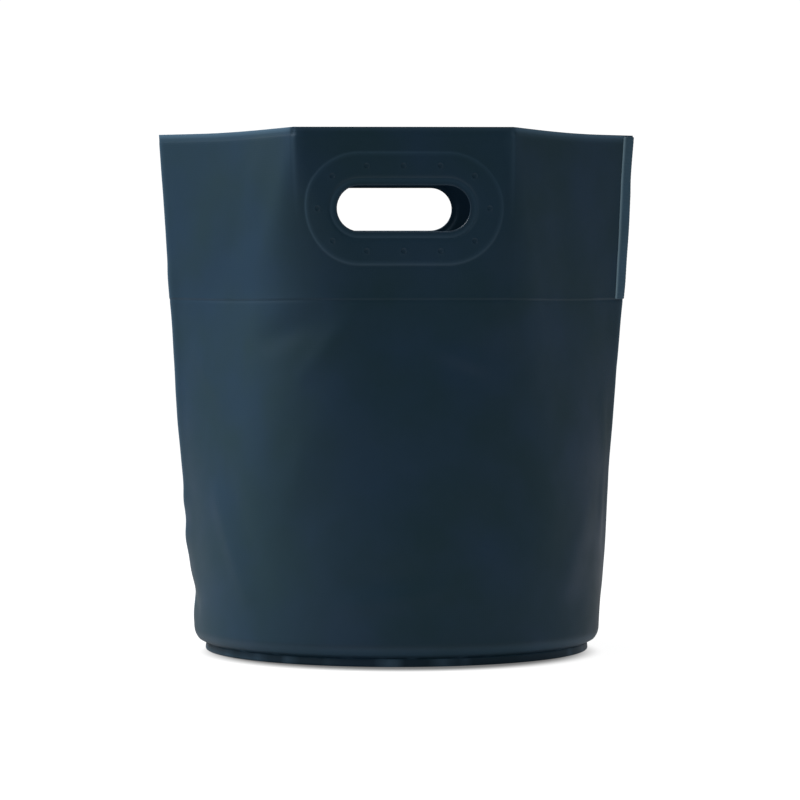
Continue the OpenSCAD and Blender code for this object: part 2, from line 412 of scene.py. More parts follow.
def tarpaulin(name, colour, patches, pale, rough, print_through):
    """PVC-coated polyester. The weave follows the sheet by its UV map, which is in metres."""
    material, tree, output = new_material(name)
    cut = add(tree, "ShaderNodeUVMap", {"uv_map": "cut"})
    place = add(tree, "ShaderNodeTexCoord").outputs["Object"]

    yarns = []
    for direction in ("X", "Y"):
        wave = add(
            tree,
            "ShaderNodeTexWave",
            {"wave_type": "BANDS", "bands_direction": direction},
            Vector=cut.outputs["UV"],
            Scale=WAVE_UNIT / YARN_SPACING,
            Distortion=0.0,
        )
        yarns.append(wave.outputs["Fac"])
    weave = add(tree, "ShaderNodeMath", {"operation": "MULTIPLY"}, _0=yarns[0], _1=yarns[1])

    mottle = add(tree, "ShaderNodeTexNoise", Vector=place, Scale=1 / MOTTLE_SIZE, Detail=3.0)
    grain = add(tree, "ShaderNodeTexNoise", Vector=place, Scale=1 / GRAIN_SIZE, Detail=2.0)
    wear_and_highlight = add(tree, "ShaderNodeAttribute", {"attribute_name": "wear_and_highlight"})

    patchy = add(
        tree, "ShaderNodeMapRange", Value=mottle.outputs["Fac"], _1=TINT_LOW, _2=TINT_HIGH
    )
    tone = add(
        tree,
        "ShaderNodeMix",
        {"data_type": "RGBA"},
        _0=patchy.outputs["Result"],
        _6=linear(colour),
        _7=linear(patches),
    )
    # The pale colour goes where the vertex attribute says: wear, and painted highlights and glints.
    base = add(
        tree,
        "ShaderNodeMix",
        {"data_type": "RGBA"},
        _0=wear_and_highlight.outputs["Fac"],
        _6=tone.outputs[2],
        _7=linear(pale),
    )
    gloss = add(
        tree,
        "ShaderNodeMapRange",
        Value=mottle.outputs["Fac"],
        _1=GLOSS_LOW,
        _2=GLOSS_HIGH,
        _3=rough - SHINIER,
        _4=rough + DULLER,
    )
    printed = add(
        tree,
        "ShaderNodeBump",
        Height=weave.outputs[0],
        Strength=print_through,
        Distance=WEAVE_DEPTH,
    )
    grained = add(
        tree,
        "ShaderNodeBump",
        Height=grain.outputs["Fac"],
        Strength=GRAIN_STRENGTH,
        Distance=GRAIN_DEPTH,
        Normal=printed.outputs["Normal"],
    )
    shader = add(
        tree,
        "ShaderNodeBsdfPrincipled",
        Base_Color=base.outputs[2],
        Roughness=gloss.outputs["Result"],
        IOR=PVC_IOR,
        Normal=grained.outputs["Normal"],
    )
    shader.inputs["Specular IOR Level"].default_value = PVC_SPECULAR
    tree.links.new(shader.outputs[0], output.inputs[0])
    return material


OUTSIDE = "pvc_coated_tarpaulin_outside"
INSIDE = "pvc_coated_tarpaulin_inside"
sheet_finish = tarpaulin(OUTSIDE, "#193143", "#132e39", "#456074", 0.48, 0.35)
inside_finish = tarpaulin(INSIDE, "#1b3447", "#15313d", "#42586a", 0.54, 0.45)
# The outside tape's colour is lighter than the sheet's: painted light, for a rim light from the right
# that catches it.
rim_lit_tape_finish = tarpaulin("pvc_weld_tape_painted_rim_light", "#355063", "#2e4856", "#7d97a4", 0.40, 0.15)
fused_finish = tarpaulin("pvc_fused_edge", "#152838", "#11242e", "#4c6274", 0.36, 0.0)
finishes = (sheet_finish, inside_finish, rim_lit_tape_finish, fused_finish)
print("tarpaulin finishes:", [finish.name for finish in finishes])

# %% [markdown]
# ### Stiffener plate
# The plate is stamped from polyethylene sheet. It is waxy and matt, with fine scratches from
# handling. Only its cut edge could ever show, at the slot.

# %% Stiffener finish
SCRATCH_SIZE = 6 * MM
SCRATCH_SQUEEZE = 12.0
SCRATCH_DEPTH = 0.03 * MM
SCRATCH_STRENGTH = 0.3
PLATE_SHINIEST, PLATE_DULLEST = 0.42, 0.6
POLYETHYLENE_IOR = 1.54


def stamped_polyethylene():
    """Polyethylene sheet. Noise squeezed along Z gives it long level scratches."""
    material, tree, output = new_material("hdpe_stamped_plate")
    place = add(tree, "ShaderNodeTexCoord").outputs["Object"]
    drawn = add(tree, "ShaderNodeMapping", Vector=place, Scale=(1.0, 1.0, SCRATCH_SQUEEZE))
    scratch = add(
        tree,
        "ShaderNodeTexNoise",
        Vector=drawn.outputs[0],
        Scale=1 / SCRATCH_SIZE,
        Detail=5.0,
    )
    gloss = add(
        tree,
        "ShaderNodeMapRange",
        Value=scratch.outputs["Fac"],
        _3=PLATE_SHINIEST,
        _4=PLATE_DULLEST,
    )
    relief = add(
        tree,
        "ShaderNodeBump",
        Height=scratch.outputs["Fac"],
        Strength=SCRATCH_STRENGTH,
        Distance=SCRATCH_DEPTH,
    )
    tone = add(
        tree,
        "ShaderNodeMix",
        {"data_type": "RGBA"},
        _0=scratch.outputs["Fac"],
        _6=linear("#1b1c1e"),
        _7=linear("#26282b"),
    )
    shader = add(
        tree,
        "ShaderNodeBsdfPrincipled",
        Base_Color=tone.outputs[2],
        Roughness=gloss.outputs["Result"],
        IOR=POLYETHYLENE_IOR,
        Normal=relief.outputs["Normal"],
    )
    tree.links.new(shader.outputs[0], output.inputs[0])
    return material


plate_finish = stamped_polyethylene()

# %% [markdown]
# ## From a mesh to a finished piece
# A flat drawing becomes a piece in four steps: its UV map is taken from the flat drawing, it is
# wrapped, its wear and its painted highlights are noted on the vertices, and modifiers round it
# and give it its thickness.
# The drawn face is always the outer one, and the thickness goes inwards from it.

# %% Finishing a piece
def note_cut(bm):
    """Keeps the flat drawing as the UV map, so that the weave runs straight on the sheet."""
    layer = bm.loops.layers.uv.new("cut")
    for face in bm.faces:
        for loop in face.loops:
            loop[layer].uv = (loop.vert.co.x, loop.vert.co.y)


def note_wear_and_highlights(bm, how_wear_and_highlight):
    """Notes on each vertex how pale the sheet is there, from 0 to 1, by its flat place: wear, and on
    some pieces painted highlights.
    """
    layer = bm.verts.layers.float.new("wear_and_highlight")
    for vertex in bm.verts:
        vertex[layer] = min(1.0, max(0.0, how_wear_and_highlight(vertex.co.x, vertex.co.y)))


def make_piece(name, bm, material, thickness=0.0, rounded=1):
    """Makes the mesh an object, with its material, smooth faces and its modifiers."""
    mesh = bpy.data.meshes.new(name)
    bm.to_mesh(mesh)
    bm.free()
    mesh.materials.append(material)
    mesh.polygons.foreach_set("use_smooth", [True] * len(mesh.polygons))
    piece = bpy.data.objects.new(name, mesh)
    bpy.context.collection.objects.link(piece)
    if rounded:
        smoothing = piece.modifiers.new("rounded", "SUBSURF")
        smoothing.levels = rounded
        smoothing.render_levels = rounded
    if thickness:
        shell = piece.modifiers.new("thickness", "SOLIDIFY")
        shell.thickness = thickness
        shell.offset = -1
    print(name, len(mesh.polygons), "faces before its modifiers")
    return piece


# %% [markdown]
# ## Leaning handles
# The front and back panels lean in until they meet in the hand. In CAD the panel is a rigid
# body on a hinge at its foot. The real sheet bends instead: it stays still at the side corners
# and at the foot, and follows the handle more and more towards the top of the panel. The
# function below doesn't bend anything: it only bakes a piece's placement into its mesh.


def lean_with_handle(piece):
    """Bakes a piece's placement into its mesh. It doesn't bend the piece."""
    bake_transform(piece)


# %% [markdown]
# ## Rings round the hand slot
# Everything about the handle follows one outline: a stadium, with two straight sides and two
# round ends. The slot, the welded lip, the plate and its outline are the same stadium at
# different distances from its middle line. So the sheet round the slot is drawn as rings,
# each an even distance outside the last, and spokes join them. The spokes are evenly
# spaced along the ring of plug welds, so that every eighth spoke runs through one. The middle
# line reaches 28 mm to each side, between the slot's 27.5 mm in CAD and the plate's 28.5 mm.

# %% Spokes
PLATE_MIDDLE = (plate_high + plate_low) / 2
SLOT_HEIGHT = PLATE_MIDDLE.z - FOOT_TOP
STRAIGHT = 28 * MM
PLUG_RING = 27.2 * MM
PLUGS = 12
SPOKES = 8 * PLUGS
PLUG_SPOKES = range(0, SPOKES, SPOKES // PLUGS)


def spoke(index):
    """The middle of a spoke on the stadium's middle line, and its direction."""
    arc = pi * PLUG_RING
    round_trip = 4 * STRAIGHT + 2 * arc
    along = (STRAIGHT - index / SPOKES * round_trip) % round_trip
    if along < 2 * STRAIGHT:
        return Vector((along - STRAIGHT, 0)), Vector((0, 1))
    if along < 2 * STRAIGHT + arc:
        angle = (along - 2 * STRAIGHT) / PLUG_RING
        return Vector((STRAIGHT, 0)), Vector((sin(angle), cos(angle)))
    if along < 4 * STRAIGHT + arc:
        return Vector((3 * STRAIGHT + arc - along, 0)), Vector((0, -1))
    angle = (along - 4 * STRAIGHT - arc) / PLUG_RING
    return Vector((-STRAIGHT, 0)), Vector((-sin(angle), -cos(angle)))


def place_ring(ring, radius, height):
    """Moves a ring of vertices to a distance from the middle line and a height off the sheet."""
    for index, vertex in enumerate(ring):
        middle, way = spoke(index)
        flat = middle + way * radius
        vertex.co = (flat.x, flat.y + SLOT_HEIGHT, height)


def rings_round_slot(bm, profile):
    """Draws rings from the slot outwards. The profile lists their distances and heights."""
    first = bmesh.ops.create_circle(bm, segments=SPOKES, radius=profile[0][0])["verts"]
    bm.verts.index_update()
    rings = [sorted(first, key=lambda vertex: vertex.index)]
    place_ring(rings[0], *profile[0])
    edges = [e for e in bm.edges if e.verts[0] in set(rings[0]) and e.verts[1] in set(rings[0])]
    for radius, height in profile[1:]:
        made = bmesh.ops.extrude_edge_only(bm, edges=edges)["geom"]
        new_verts = {v for v in made if isinstance(v, bmesh.types.BMVert)}
        next_ring = []
        for vertex in rings[-1]:
            others = [edge.other_vert(vertex) for edge in vertex.link_edges]
            next_ring.append(next(other for other in others if other in new_verts))
        place_ring(next_ring, radius, height)
        rings.append(next_ring)
        edges = [e for e in made if isinstance(e, bmesh.types.BMEdge) and set(e.verts) <= new_verts]
    return rings, edges


# %% [markdown]
# ## Plug welds
# Twelve holes in the plate let the two sheets be pressed together through it. Outside, each
# one shows as a small round dimple in a raised ring. The four faces round a vertex are inset
# again and again, and each time their eight outer vertices go onto a circle. The circles rise
# first, then sink.

# %% Plug dimples
DIMPLE_CIRCLES = [(2.6, 0.10), (2.2, 0.20), (1.8, 0.02), (1.4, -0.22), (0.9, -0.30)]
DIMPLE_MARGIN = 0.3 * MM


def press_plugs(bm, ring):
    """Presses a dimple round every eighth vertex of the ring of plug welds."""
    for middle in [ring[index] for index in PLUG_SPOKES]:
        foot = middle.co.copy()
        for radius, rise in DIMPLE_CIRCLES:
            bmesh.ops.inset_region(bm, faces=middle.link_faces[:], thickness=DIMPLE_MARGIN)
            for vertex in {v for face in middle.link_faces for v in face.verts if v is not middle}:
                way = Vector((vertex.co.x - foot.x, vertex.co.y - foot.y, 0)).normalized()
                vertex.co = foot + way * radius * MM + Vector((0, 0, rise * MM))
        middle.co.z = foot.z + DIMPLE_CIRCLES[-1][1] * MM


# %% [markdown]
# ## A half sheet
# The sheet starts as a plain grid, a little too large. Straight cuts add the lines where
# something is pressed into it, and then trim it to size, as a cutter's knife would. The grid is
# opened round the handle, and the rings are bridged into the opening.

# %% Drawing a half sheet
COLUMN = 4.9 * MM
SLOT_ROWS = 12
ROW = (RIM_Z - PLATE_MIDDLE.z) / SLOT_ROWS
PATCH_COLUMNS = 14
PATCH_ROWS = 10
BRIDGE_CUTS = 3
CUT_SNAP = 0.01 * MM


def cut_line(bm, point, way, trim=False):
    """Cuts the flat sheet along a line, and throws away what lies behind it if asked."""
    bmesh.ops.bisect_plane(
        bm,
        geom=bm.verts[:] + bm.edges[:] + bm.faces[:],
        plane_co=point,
        plane_no=way,
        clear_inner=trim,
        dist=CUT_SNAP,
    )


def flat_grid(top, bottom, columns):
    """A grid whose rows line up with the slot, over the whole half girth and down past bottom."""
    bm = bmesh.new()
    rows = int((top - bottom) / ROW) + 2
    bmesh.ops.create_grid(bm, x_segments=columns, y_segments=rows, size=0.5)
    for vertex in bm.verts:
        vertex.co = (vertex.co.x * columns * COLUMN, WALL_H + (vertex.co.y - 0.5) * rows * ROW, 0)
    return bm


def face_outwards(bm):
    """Turns the faces of a flat drawing up, which is outwards on the tub."""
    bm.normal_update()
    bmesh.ops.reverse_faces(bm, faces=[face for face in bm.faces if face.normal.z < 0])


def open_handle(bm, profile):
    """Opens the grid round the handle, bridges rings into it and gives back the ring of plugs."""
    plug_row = [radius for radius, _ in profile].index(PLUG_RING)
    reach = Vector((PATCH_COLUMNS * COLUMN, PATCH_ROWS * ROW))
    inside = []
    for face in bm.faces:
        centre = face.calc_center_median()
        if abs(centre.x) < reach.x and abs(centre.y - SLOT_HEIGHT) < reach.y:
            inside.append(face)
    kept = {e for f in inside for e in f.edges if any(other not in inside for other in e.link_faces)}
    bmesh.ops.delete(bm, geom=inside, context="FACES")
    rings, outermost = rings_round_slot(bm, profile)
    bridged = bmesh.ops.bridge_loops(bm, edges=outermost + [e for e in kept if e.is_valid])
    bm.verts.index_update()
    plug_ring = [vertex.index for vertex in rings[plug_row]]
    bmesh.ops.subdivide_edges(bm, edges=bridged["edges"], cuts=BRIDGE_CUTS)
    face_outwards(bm)
    bm.verts.ensure_lookup_table()
    return [bm.verts[index] for index in plug_ring]


# %% [markdown]
# ## Weld lines
# A hot bar presses the rim together, 5 mm wide, and another one welds the lower edge of the
# inner band. Each leaves the coating pressed in, with a narrow bead of melted plastic beside
# it. The pressed shapes are small, so the sheet gets its own lines of vertices there.

# %% Pressing the welds
def along(profile, at):
    """The height at a place on a profile of (place, height) points, joined by straight lines."""
    if at <= profile[0][0]:
        return profile[0][1]
    for (a, low), (b, high) in zip(profile, profile[1:]):
        if at <= b:
            return low + (high - low) * (at - a) / (b - a)
    return profile[-1][1]


RIM_PROFILE = [
    (0, -0.22), (3.6, -0.20), (4.3, -0.17), (4.9, -0.11), (5.4, -0.05), (6.0, -0.01), (6.9, 0.0),
]
BAND_PROFILE = [
    (-2.6, 0.0), (-1.5, -0.06), (-0.8, -0.2), (-0.2, -0.04), (0.4, 0.16), (1.1, 0.14), (2.2, 0.08),
]
RIM_LINES = [0.5] + [place for place, _ in RIM_PROFILE[1:]]
BAND_LINES = [place for place, _ in BAND_PROFILE]
BAND_HEIGHT = BAND_Z - FOOT_TOP
STEP_REACH = 8
STEP_FADE = 5


def press_welds(bm):
    """Presses the rim weld and the band's lower weld into a flat sheet."""
    for vertex in bm.verts:
        below_rim = (WALL_H - vertex.co.y) / MM
        if below_rim < RIM_PROFILE[-1][0]:
            vertex.co.z += along(RIM_PROFILE, below_rim) * MM
        above_band = (vertex.co.y - BAND_HEIGHT) / MM
        if BAND_PROFILE[0][0] < above_band < STEP_REACH:
            fade = 1 - ease((above_band - BAND_PROFILE[-1][0]) / STEP_FADE)
            vertex.co.z += along(BAND_PROFILE, above_band) * MM * fade


# %% [markdown]
# ## The two outer sheets
# The relief round the slot comes from what lies behind the sheet: a lip where the layers are
# fused together, a groove at the plate's inner edge, the plate itself, and a step down at its
# outline. The heights are in millimetres off the sheet's own face.

# %% The outer sheets
SHEET_RELIEF = [
    (15.0, 0.02), (15.35, 0.14), (16.2, 0.20), (17.8, 0.19), (18.6, 0.06), (19.2, -0.12), (19.8, 0.12),
    (20.5, 0.42), (21.9, 0.50), (24.3, 0.50), (27.2, 0.50), (30.1, 0.50), (33.2, 0.50), (35.0, 0.47),
    (35.8, 0.32), (36.5, 0.04), (37.2, -0.06), (38.4, 0.0),
]
CREASE_LINES = (-1.3, 0.0, 1.3, 3.0)
CORNER_LINES = (1.2, 3.0)
SEAM_GAP = 0.1 * MM
COLUMNS = 2 * (int(QUARTER / COLUMN) + 1)
FLANGE_SHORT = 1 * MM
SHEET_BOTTOM = -EDGE_LENGTH - FLANGE_H + FLANGE_SHORT


def in_metres(profile):
    """A profile of millimetres, in metres."""
    return [(radius * MM, height * MM) for radius, height in profile]


def cut_beside(bm, middle, lines):
    """Cuts upright lines on both halves of the sheet, at distances in millimetres from a girth."""
    for side in (-1, 1):
        for line in lines:
            cut_line(bm, (side * (middle + line * MM), 0, 0), (side, 0, 0))


def cut_across(bm, middle, lines):
    """Cuts level lines, at distances in millimetres from a height."""
    for line in lines:
        cut_line(bm, (0, middle + line * MM, 0), (0, 1, 0))


# %% [markdown]
# The coating whitens where it is bent, rubbed or stretched, and some pale lines here are that
# wear. Each pale line lies on the sheet, given by a half width and a strength between 0 and 1.
# The rim's line is wider and paler on the slanting sides, which bend each time the handles are
# drawn together; it is partly wear and partly a painted highlight where the rim catches light.
# The lines along the creases, the foot, the plate's outline and the slot's lip are painted
# highlights, and the streaks on the foot are painted glints. The side corners' line is wear.

# %% Wear
# Half widths and strengths of the pale lines: the rim's is wear and painted highlight, the creases',
# foot's, outline's and lip's are painted highlights.
RIM_WEAR_AND_HIGHLIGHT_FLAT = (1.3 * MM, 0.2)
RIM_WEAR_AND_HIGHLIGHT_SLANTING = (3.2 * MM, 0.8)
CORNER_WEAR = (2.2 * MM, 0.5)
CREASE_HIGHLIGHT = (2 * MM, 0.25)
CREASE_HIGHLIGHT_RUN = 70 * MM
FOOT_HIGHLIGHT = (3 * MM, 0.3)
FOOT_HIGHLIGHT_DEPTH = 5 * MM
EDGE_GLINT_WIDTH = 2 * MM
OUTLINE_HIGHLIGHT = (0.8 * MM, 0.2)
PLATE_EDGE = 35.7 * MM
LIP_HIGHLIGHT = (0.9 * MM, 0.16)
LIP_EDGE = 18.4 * MM
GLINT_LENGTH = 11 * MM
GLINT_LEAST = 0.12
GLINT_GAIN = 1.5


def pale_line(distance, half_width, strength):
    """A pale line, for wear and for painted highlights, strongest on the line and fading away on both
    sides of it.
    """
    return strength * exp(-((distance / half_width) ** 2))


def glint_streaks(x, y):
    """Short painted glints along the foot: pale streaks in the colour that stand in for light glinting
    on the flange and the binding.
    """
    return max(0, noise.noise(Vector((x, y, 0)) / GLINT_LENGTH) - GLINT_LEAST) * GLINT_GAIN


def sheet_wear_and_highlights(across, up):
    """Pale lines: wear at the side corners, wear and a painted highlight at the rim, and painted
    highlights along the creases, the foot, the plate's outline and the slot's lip.
    """
    slanting = ease((abs(across) - CREASE_X) / CREASE_SOFT_RIM)
    half_width, strength = [mix(a, b, slanting) for a, b in zip(RIM_WEAR_AND_HIGHLIGHT_FLAT, RIM_WEAR_AND_HIGHLIGHT_SLANTING)]
    rim = pale_line(WALL_H - up, half_width, strength)
    corner = pale_line(QUARTER - abs(across), *CORNER_WEAR)
    crease = pale_line(CREASE_X - abs(across), *CREASE_HIGHLIGHT)
    crease *= ease(1 - (WALL_H - up) / CREASE_HIGHLIGHT_RUN)
    # Along the foot: a painted highlight line, and painted glints in streaks below it.
    foot = pale_line(up + FOOT_HIGHLIGHT_DEPTH, *FOOT_HIGHLIGHT)
    foot += pale_line(up + EDGE_LENGTH, EDGE_GLINT_WIDTH, glint_streaks(across, 0))
    from_slot = hypot(max(0, abs(across) - STRAIGHT), up - SLOT_HEIGHT)
    outline = pale_line(from_slot - PLATE_EDGE, *OUTLINE_HIGHLIGHT)
    lip = pale_line(from_slot - LIP_EDGE, *LIP_HIGHLIGHT)
    return max(rim, corner, crease, foot, outline, lip)


# %% Making the outer sheets
def draw_outer_sheet():
    """The flat outer sheet of a half, trimmed and pressed."""
    bm = flat_grid(WALL_H, SHEET_BOTTOM, COLUMNS)
    press_plugs(bm, open_handle(bm, in_metres(SHEET_RELIEF)))
    cut_across(bm, WALL_H, [-line for line in RIM_LINES])
    cut_across(bm, BAND_HEIGHT, BAND_LINES)
    for line in (-EDGE_LENGTH, -EDGE_LENGTH / 2, 0):
        cut_line(bm, (0, line, 0), (0, 1, 0))
    cut_beside(bm, CREASE_X, CREASE_LINES)
    cut_beside(bm, QUARTER, [-line for line in CORNER_LINES])
    for side in (-1, 1):
        cut_line(bm, (side * (QUARTER - SEAM_GAP / 2), 0, 0), (-side, 0, 0), trim=True)
    cut_line(bm, (0, SHEET_BOTTOM, 0), (0, 1, 0), trim=True)
    press_welds(bm)
    return bm


HALVES = (("front", 0.0), ("back", 2 * QUARTER))
for half, middle in HALVES:
    bm = draw_outer_sheet()
    note_cut(bm)
    note_wear_and_highlights(bm, sheet_wear_and_highlights)
    wrap_mesh(bm, middle)
    sheet = make_piece(half + "_sheet", bm, sheet_finish, SHEET_T)
    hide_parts(half + "_panel", half + "_sheet_sides")
    lean_with_handle(sheet)

# %% [markdown]
# ## The two inner bands
# The top of the wall is doubled by a band inside it, and the plate lies in a pocket between the
# two. The band's own relief is turned the other way: it bulges inwards over the plate.

# %% The inner bands
LAYER_GAP = 0.05 * MM
PLATE_T = 1.2 * MM
POCKET_GAP = 0.25 * MM
BAND_FACE = -(SHEET_T + LAYER_GAP) / MM
BAND_BULGE = 0.62
POCKET = BAND_FACE - BAND_BULGE
BAND_RELIEF = [
    (15.0, -0.62), (16.2, -0.50), (17.8, -0.52), (18.6, -0.80), (19.4, POCKET + 0.1), (20.6, POCKET),
    (24.0, POCKET), (27.2, POCKET), (30.4, POCKET), (34.2, POCKET), (35.6, POCKET + 0.08),
    (36.6, BAND_FACE - 0.25), (37.4, BAND_FACE), (38.4, BAND_FACE),
]
BAND_HEM_LINES = (1.4, 2.4, 4.0)
BAND_CORNER_LINES = (3.0,)
BAND_FROM_CORNER = 1.4 * MM
BAND_BELOW_RIM = 0.6 * MM
BAND_LIFT = 0.1 * MM
BAND_PRESSED = 0.3
BAND_RIM_WEAR = (1.3 * MM, 1.0)
BAND_HEM_WEAR = (1.0 * MM, 0.6)


def band_wear(across, up):
    """The band's lower edge and the rim are the only edges of it that wear."""
    rim = pale_line(WALL_H - up, *BAND_RIM_WEAR)
    hem = pale_line(up - BAND_HEIGHT, *BAND_HEM_WEAR)
    return max(rim, hem)


def draw_band():
    """The flat band of a half. It ends just short of the rim, the corners and its weld line."""
    bm = flat_grid(WALL_H, BAND_HEIGHT, COLUMNS)
    for vertex in bm.verts:
        vertex.co.z = BAND_FACE * MM
    open_handle(bm, in_metres(BAND_RELIEF))
    cut_across(bm, WALL_H, [-line for line in RIM_LINES])
    cut_across(bm, BAND_HEIGHT, BAND_HEM_LINES)
    cut_beside(bm, CREASE_X, CREASE_LINES)
    cut_beside(bm, QUARTER, [-line for line in BAND_CORNER_LINES])
    for side in (-1, 1):
        cut_line(bm, (side * (QUARTER - BAND_FROM_CORNER), 0, 0), (-side, 0, 0), trim=True)
    cut_line(bm, (0, BAND_HEIGHT + BAND_BELOW_WELD, 0), (0, 1, 0), trim=True)
    cut_line(bm, (0, WALL_H - BAND_BELOW_RIM, 0), (0, -1, 0), trim=True)
    for vertex in bm.verts:
        below_rim = (WALL_H - vertex.co.y) / MM
        if below_rim < RIM_PROFILE[-1][0]:
            vertex.co.z += BAND_LIFT - BAND_PRESSED * along(RIM_PROFILE, below_rim) * MM
    return bm


for half, middle in HALVES:
    bm = draw_band()
    note_cut(bm)
    note_wear_and_highlights(bm, band_wear)
    wrap_mesh(bm, middle)
    band = make_piece(half + "_band", bm, inside_finish, SHEET_T)
    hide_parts(half + "_band_panel", half + "_band_sides")
    lean_with_handle(band)

# %% [markdown]
# ## Stiffener plates and plug welds
# The plate is a stadium ring with twelve holes, and it lies hidden between the layers. It is
# drawn with the same rings as the sheets, so its holes fall exactly on the dimples: the fourth
# of its rings runs through them. A plug is what fills a hole once the coatings have melted
# together.

# %% Plates and plugs
PLATE_RADII = [20.7, 21.2, 24.0, 27.2, 30.4, 34.5, 35.0]
HOLE_ROW = 3
PLATE_FACE = BAND_FACE + 0.45
HOLE_R = 2.6 * MM
PLUG_R = 1.5 * MM
PLUG_T = 0.9 * MM
PLUG_BEVEL = 0.2 * MM
PLUG_MIDDLE = BAND_FACE - 0.05
PLUG_SIDES = 20
PLUG_WEAR = 0.1


def draw_plate():
    """The plate, flat, with its holes punched."""
    bm = bmesh.new()
    rings, _ = rings_round_slot(bm, in_metres([(radius, PLATE_FACE) for radius in PLATE_RADII]))
    holes = bmesh.ops.bevel(
        bm,
        geom=[rings[HOLE_ROW][index] for index in PLUG_SPOKES],
        offset=HOLE_R,
        offset_type="OFFSET",
        segments=2,
        profile=0.5,
        affect="VERTICES",
        material=-1,
    )
    bmesh.ops.delete(bm, geom=holes["faces"], context="FACES")
    face_outwards(bm)
    return bm


def draw_plugs():
    """Twelve short round plugs, in the holes of the plate."""
    bm = bmesh.new()
    for index in PLUG_SPOKES:
        made = bmesh.ops.create_cone(
            bm,
            cap_ends=True,
            segments=PLUG_SIDES,
            radius1=PLUG_R,
            radius2=PLUG_R,
            depth=PLUG_T,
        )
        middle, way = spoke(index)
        flat = middle + way * PLUG_RING
        place = (flat.x, flat.y + SLOT_HEIGHT, PLUG_MIDDLE * MM)
        bmesh.ops.translate(bm, verts=made["verts"], vec=place)
    rims = [e for e in bm.edges if any(len(f.verts) > 4 for f in e.link_faces)]
    bmesh.ops.bevel(
        bm,
        geom=rims,
        offset=PLUG_BEVEL,
        offset_type="OFFSET",
        segments=2,
        profile=0.5,
        affect="EDGES",
        material=-1,
    )
    return bm


for half, middle in HALVES:
    bm = draw_plate()
    note_cut(bm)
    wrap_mesh(bm, middle)
    plate = make_piece(half + "_plate", bm, plate_finish, PLATE_T - POCKET_GAP)
    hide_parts(half + "_stiffener")
    lean_with_handle(plate)

    bm = draw_plugs()
    note_cut(bm)
    note_wear_and_highlights(bm, lambda across, up: PLUG_WEAR)
    wrap_mesh(bm, middle)
    plugs = make_piece(half + "_plugs", bm, fused_finish, rounded=0)
    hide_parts(half + "_plug_welds")
    lean_with_handle(plugs)

# %% [markdown]
# ## The fused edge of the slot
# The die that cuts the slot is hot, so it melts the cut edges of both layers into one smooth
# bead. It is drawn as nine rings, which make a rounded section that is closed on itself.

# %% Slot edges
BEAD_SECTION = [
    (14.75, 0.00), (14.95, 0.17), (15.35, 0.23), (15.8, 0.12), (15.8, -0.90), (15.35, -1.34),
    (14.95, -1.24), (14.72, -0.95), (14.66, -0.45),
]
BEAD_WEAR = 0.15


def draw_bead():
    """A closed ring round the slot."""
    bm = bmesh.new()
    _, last = rings_round_slot(bm, in_metres(BEAD_SECTION))
    first = [e for e in bm.edges if len(e.link_faces) == 1 and e not in last]
    bmesh.ops.bridge_loops(bm, edges=first + last)
    bmesh.ops.recalc_face_normals(bm, faces=bm.faces[:])
    return bm


for half, middle in HALVES:
    bm = draw_bead()
    note_cut(bm)
    note_wear_and_highlights(bm, lambda across, up: BEAD_WEAR)
    wrap_mesh(bm, middle)
    bead = make_piece(half + "_slot_edge", bm, fused_finish)
    lean_with_handle(bead)

# %% [markdown]
# ## Corner tapes
# The two halves meet at the side corners, and tapes welded over the corners close the joint.
# All of them lie inside but one: the right corner of the doubled band is closed last, when a
# welding wheel can only get at it from outside. The wheel is knurled, so that tape has fine ribs
# across it, and the melted edge beside it has whitened; the pale line along a tape's edges is
# partly that and partly a painted highlight, and the outside tape's lighter colour is painted
# light from the right. It is a little wider at the rim, where the wheel starts. An outside tape is
# pressed down at its edges, and an inside tape up.

# %% Tapes
TAPE_REACH = 10 * MM
TAPE_FLARE = 0.24
TAPE_T = 0.5 * MM
TAPE_COLUMNS = 20
TAPE_ROW = 4 * MM
RIB_SPACING = 2.4 * MM
RIB_RISE = 0.05 * MM
RIB_ROWS = 4
RIB_FADE = 0.25
PRESSED_FROM = 0.72
TAPE_EDGE_WEAR_AND_HIGHLIGHT = (1.2 * MM, 0.9)


def draw_tape(low, high, face, pressed, is_outside):
    """A flat strip between two heights, pressed at its edges. The outside one has ribs across."""
    bm = bmesh.new()
    rows = int((high - low) / (RIB_SPACING / RIB_ROWS if is_outside else TAPE_ROW))
    bmesh.ops.create_grid(bm, x_segments=TAPE_COLUMNS, y_segments=rows, size=0.5)
    for vertex in bm.verts:
        across = vertex.co.x * 2
        up = mix(low, high, vertex.co.y + 0.5)
        rib = 0.0
        if is_outside:
            rib = RIB_RISE * cos(2 * pi * up / RIB_SPACING) * ease((1 - abs(across)) / RIB_FADE)
        sunk = pressed * ease((abs(across) - PRESSED_FROM) / (1 - PRESSED_FROM))
        vertex.co = (across * TAPE_REACH, up, face + rib - sunk)
    return bm


def flare(bm, low, high):
    """Widens a strip evenly towards its top."""
    for vertex in bm.verts:
        vertex.co.x *= 1 + TAPE_FLARE * (vertex.co.y - low) / (high - low)


def tape_edge_wear_and_highlight(across, up):
    """A tape has a pale line along its two long edges: partly whitened coating and partly painted
    highlight.
    """
    return pale_line(TAPE_REACH - abs(across), *TAPE_EDGE_WEAR_AND_HIGHLIGHT)


